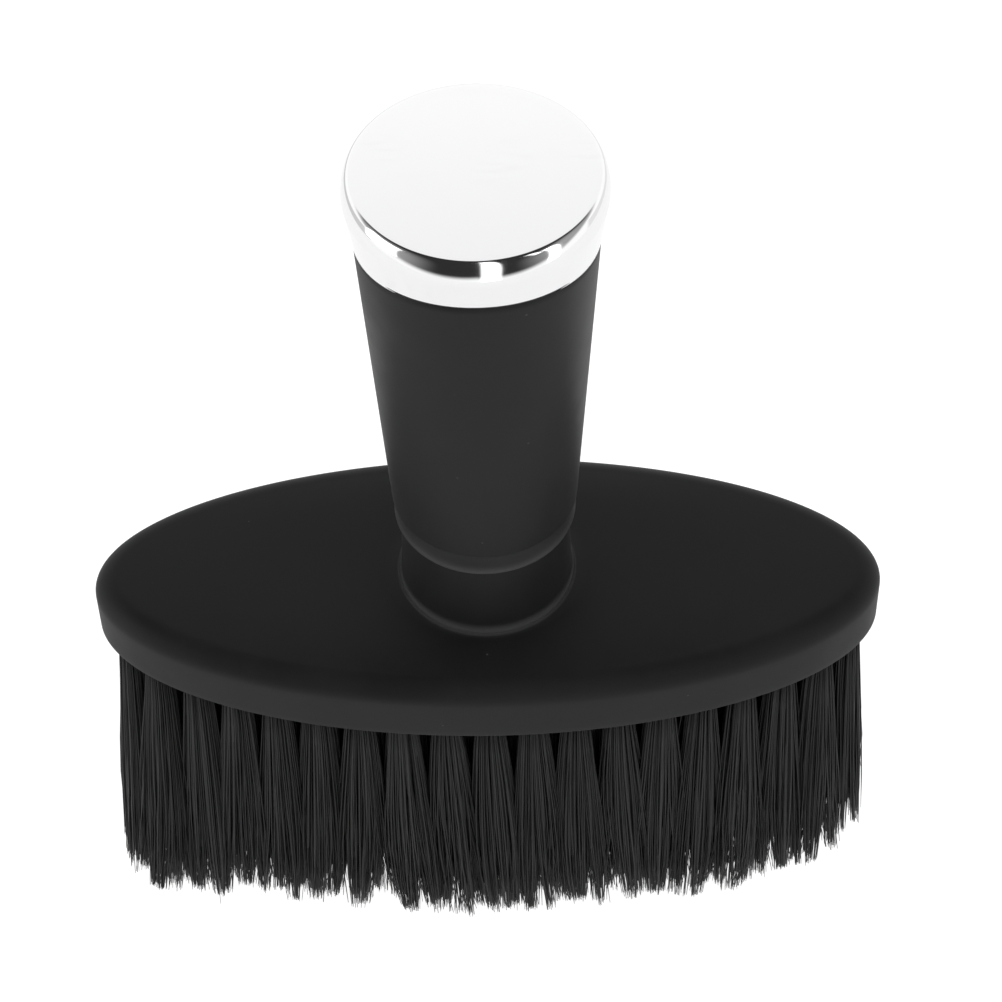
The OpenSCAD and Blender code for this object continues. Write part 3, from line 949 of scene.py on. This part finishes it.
class DUSTER_OT_grip(bpy.types.Operator):
    """Build the tapered grip sleeve"""
    bl_idname = "duster.grip"
    bl_label = "Build grip"

    def execute(self, context):
        piece = closed_surface("grip_sleeve", grip_rows(context.scene.duster_handle))
        colour = context.scene.duster_plate.colour
        dress(piece, soft_touch_material("GripSoftTouch", colour, 0.5), "soft_touch_black",
              "handle_grip")
        return {"FINISHED"}


class DUSTER_OT_cap(bpy.types.Operator):
    """Build the polished cap"""
    bl_idname = "duster.cap"
    bl_label = "Build cap"

    def execute(self, context):
        piece = closed_surface("cap_shell", cap_rows(context.scene.duster_handle),
                                pole_ends=True)
        dress(piece, chrome_material(), "chrome_cap", "handle_cap")
        return {"FINISHED"}


class DUSTER_OT_tufts(bpy.types.Operator):
    """Build the filaments of every tuft"""
    bl_idname = "duster.tufts"
    bl_label = "Build bristle tufts"

    def execute(self, context):
        settings = context.scene.duster_bristles
        material = bristle_material(settings.colour)
        for name, node, side, share, seed in TUFT_PIECES:
            per_tuft = int(settings.per_tuft * share)
            add_tufts(name, node, side, per_tuft, seed, settings, material)
        return {"FINISHED"}


class DUSTER_OT_inner_pieces(bpy.types.Operator):
    """Finish the block, core, screws, pins, inserts and anchors, which keep their CAD shapes"""
    bl_idname = "duster.inner_pieces"
    bl_label = "Finish inner pieces"

    def execute(self, context):
        block = moulded_material("BlockPlastic", (0.008, 0.008, 0.008), 0.6)
        core = moulded_material("CorePlastic", (0.04, 0.042, 0.046), 0.5)
        rubber = bpy.data.materials["RingRubber"]
        steel = turned_metal_material("ScrewSteel", (0.55, 0.56, 0.57), 0.28)
        brass = turned_metal_material("InsertBrass", (0.69, 0.52, 0.24), 0.25)
        wire = turned_metal_material("AnchorWire", (0.72, 0.6, 0.36), 0.35)
        finishes = {
            "bristle_block": block, "handle_core": core, "cap_plug": core, "cap_seal": rubber,
            "block_screws": steel, "handle_screw": steel, "handle_screw_washer": steel,
            "locating_pins": steel, "plug_screw": steel, "lower_insert": brass,
            "upper_insert": brass, "anchors_outer_row": wire, "anchors_second_row": wire,
            "anchors_third_row": wire, "anchors_centre_row": wire,
        }
        for node, material in finishes.items():
            finish_cad_node(node, material)
        return {"FINISHED"}


class DUSTER_OT_stage(bpy.types.Operator):
    """Set the pale table, the soft studio light and the camera"""
    bl_idname = "duster.stage"
    bl_label = "Set stage"

    def execute(self, context):
        settings = context.scene.duster_stage
        add_table(settings)
        set_studio(context.scene, settings)
        add_camera(context.scene)
        context.scene.view_settings.view_transform = "Standard"
        return {"FINISHED"}


# ---- Stage ----

def add_table(settings):
    """A round white table just under the bristle tips, lit partly from within.

    It looks a little brighter than the light it sends to the brush.
    """
    radius, drop, middle_y = 0.42, 0.15 * MM, 0.2
    seen_extra = 0.16
    t = turn_angles()
    rim = np.stack([radius * np.cos(t), middle_y + radius * np.sin(t),
                    np.full(COLUMNS, -drop)], -1)
    points = np.concatenate([rim, [[0, middle_y, -drop]]])
    index = np.arange(COLUMNS)
    fan = np.stack([index, np.roll(index, -1), np.full(COLUMNS, COLUMNS)], -1)
    table = make_mesh_object("table", points, np.zeros((0, 4), np.int64), fan)
    material, n, shader, _ = new_material("TableWhite", Roughness=0.9, Specular_IOR_Level=0.1)
    shader.inputs["Base Color"].default_value = (0.3, 0.3, 0.3, 1)
    shader.inputs["Emission Color"].default_value = (1, 1, 1, 1)
    seen = n.add("ShaderNodeLightPath").outputs["Is Camera Ray"]
    glow = n.math("ADD", n.math("MULTIPLY", seen, seen_extra), settings.floor_glow)
    n.feed(shader.inputs["Emission Strength"], glow)
    table.data.materials.append(material)


def make_sky_patch():
    """A soft-edged patch of the sky: 1 inside a range of bearing and height, 0 outside."""
    group, n, start, end = new_group(
        "SkyPatch",
        [("Bearing", "NodeSocketFloat", 0.0), ("Height", "NodeSocketFloat", 0.0),
         ("Middle Bearing", "NodeSocketFloat", 0.0), ("Middle Height", "NodeSocketFloat", 0.0),
         ("Half Width", "NodeSocketFloat", 10.0), ("Half Rise", "NodeSocketFloat", 10.0)],
        [("Mask", "NodeSocketFloat")])
    sides = []
    for way, half in (("Bearing", "Half Width"), ("Height", "Half Rise")):
        off = n.math("SUBTRACT", start.outputs[way], start.outputs["Middle " + way])
        past = n.math("SUBTRACT", n.math("ABSOLUTE", off), start.outputs[half])
        sides.append(n.ramp(past, -1.5, 1.5, 1.0, 0.0))
    n.feed(end.inputs["Mask"], n.math("MULTIPLY", sides[0], sides[1]))
    return group


def set_studio(scene, settings):
    """White surroundings with a dark ceiling over the front and a few bright windows.

    A direction's cosine to the ceiling's middle, raised a little towards both sides, decides
    how dark it is. Windows and the two grey strips behind are ranges of bearing, in degrees
    from the front towards +X, and of height, in degrees above the horizon. Behind, the white
    falls off slowly upwards.
    """
    world = bpy.data.worlds.new("Studio")
    world.use_nodes = True
    scene.world = world
    n = Nodes(world.node_tree)
    background = next(k for k in world.node_tree.nodes if k.type == "BACKGROUND")
    ceiling_middle = math.radians(134)
    axis = (0.0, math.cos(ceiling_middle), math.sin(ceiling_middle))
    where = n.add("ShaderNodeTexCoord").outputs["Generated"]
    part = n.add("ShaderNodeSeparateXYZ", {0: where})
    cosine = n.add("ShaderNodeVectorMath", {0: where, 1: axis}, operation="DOT_PRODUCT")
    side = n.math("ABSOLUTE", part.outputs["X"])
    reach = n.math("ADD", cosine.outputs["Value"], n.math("MULTIPLY", side, 0.22))
    white = n.ramp(part.outputs["Z"], 0.58, 0.8, 1.12 * settings.sky, settings.sky)
    rays = n.add("ShaderNodeLightPath")
    fill = n.math("MULTIPLY", rays.outputs["Is Diffuse Ray"], settings.fill)
    dark = n.math("ADD", n.ramp(side, 0.45, 0.95, settings.ceiling, settings.ceiling + 0.35), fill)
    strength = n.add("ShaderNodeMapRange", {
        "Value": reach, "From Min": 0.2, "From Max": 0.42, "To Min": white,
        "To Max": dark}, interpolation_type="SMOOTHSTEP").outputs["Result"]
    front = n.math("MULTIPLY", part.outputs["Y"], -1.0)
    bearing = n.math("DEGREES", n.math("ARCTAN2", part.outputs["X"], front))
    height = n.math("DEGREES", n.math("ARCSINE", part.outputs["Z"]))
    bright = settings.window
    # Middle bearing, middle height, half width and half rise in degrees, and added brightness.
    patches = (
        (11, 20, 7.5, 55, bright),
        (50, 38, 3.5, 14, bright),
        (61, 5, 5, 32, bright),
        (-77, 8, 15, 24, bright),
        (-135, -9, 48, 11, -0.45),
        (140, -9, 45, 11, -0.25),
    )
    for middle_bearing, middle_height, width, rise, brightness in patches:
        patch = place_group(n, "SkyPatch", {
            "Bearing": bearing, "Height": height, "Middle Bearing": middle_bearing,
            "Middle Height": middle_height, "Half Width": width, "Half Rise": rise})
        strength = n.math("ADD", strength, n.math("MULTIPLY", patch.outputs["Mask"],
                                                  brightness))
    shown = n.add("ShaderNodeMix", {"Factor": rays.outputs["Is Camera Ray"], "A": strength,
                                    "B": settings.sky})
    background.inputs["Color"].default_value = (1, 1, 1, 1)
    n.feed(background.inputs["Strength"], shown.outputs["Result"])


def add_camera(scene):
    """A long lens above the front, looking down at the brush and turned a little on its axis.

    It stands back from the target along a direction given by its height and yaw angles, and
    its right and up directions are turned by the roll angle.
    """
    height, yaw, roll = (math.radians(v) for v in (50.0, 0.67, -1.37))
    distance = 444.4 * MM
    target = Vector((2.37 * MM, 0, UNDER_Z + 26.6 * MM))
    back = Vector((math.sin(yaw) * math.cos(height), -math.cos(yaw) * math.cos(height),
                   math.sin(height)))
    right = (-back).cross(Vector((0, 0, 1))).normalized()
    up = right.cross(-back)
    turned_right = right * math.cos(roll) + up * math.sin(roll)
    turned_up = up * math.cos(roll) - right * math.sin(roll)
    lens = bpy.data.cameras.new("camera")
    lens.sensor_width = 36.0
    lens.lens = 107.8
    camera = bpy.data.objects.new("camera", lens)
    turn = Matrix((turned_right, turned_up, back)).transposed().to_4x4()
    camera.matrix_world = Matrix.Translation(target + back * distance) @ turn
    scene.collection.objects.link(camera)
    scene.camera = camera


# ---- Panel and registration ----

BUILD_ORDER = (DUSTER_OT_patterns, DUSTER_OT_plate, DUSTER_OT_seat_ring, DUSTER_OT_grip,
               DUSTER_OT_cap, DUSTER_OT_tufts, DUSTER_OT_inner_pieces, DUSTER_OT_stage)
SETTINGS = {"duster_plate": DusterPlateSettings, "duster_handle": DusterHandleSettings,
            "duster_bristles": DusterBristleSettings, "duster_stage": DusterStageSettings}


class DUSTER_PT_panel(bpy.types.Panel):
    """Settings and build steps of the brush"""
    bl_idname = "DUSTER_PT_panel"
    bl_label = "Neck duster brush"
    bl_space_type = "VIEW_3D"
    bl_region_type = "UI"
    bl_category = "Duster"

    def draw(self, context):
        for name, group in SETTINGS.items():
            box = self.layout.box()
            for prop in group.__annotations__:
                box.prop(getattr(context.scene, name), prop)
        for step in BUILD_ORDER:
            self.layout.operator(step.bl_idname)


def register():
    """Registers the settings, the operators and the panel."""
    for group in SETTINGS.values():
        bpy.utils.register_class(group)
    for name, group in SETTINGS.items():
        setattr(bpy.types.Scene, name, PointerProperty(type=group))
    for step in BUILD_ORDER:
        bpy.utils.register_class(step)
    bpy.utils.register_class(DUSTER_PT_panel)


def unregister():
    """Takes them away again, in the opposite order."""
    bpy.utils.unregister_class(DUSTER_PT_panel)
    for step in reversed(BUILD_ORDER):
        bpy.utils.unregister_class(step)
    for name, group in reversed(SETTINGS.items()):
        delattr(bpy.types.Scene, name)
        bpy.utils.unregister_class(group)


def main():
    register()
    for step in BUILD_ORDER:
        family, action = step.bl_idname.split(".")
        getattr(getattr(bpy.ops, family), action)()


if __name__ == "__main__":
    main()
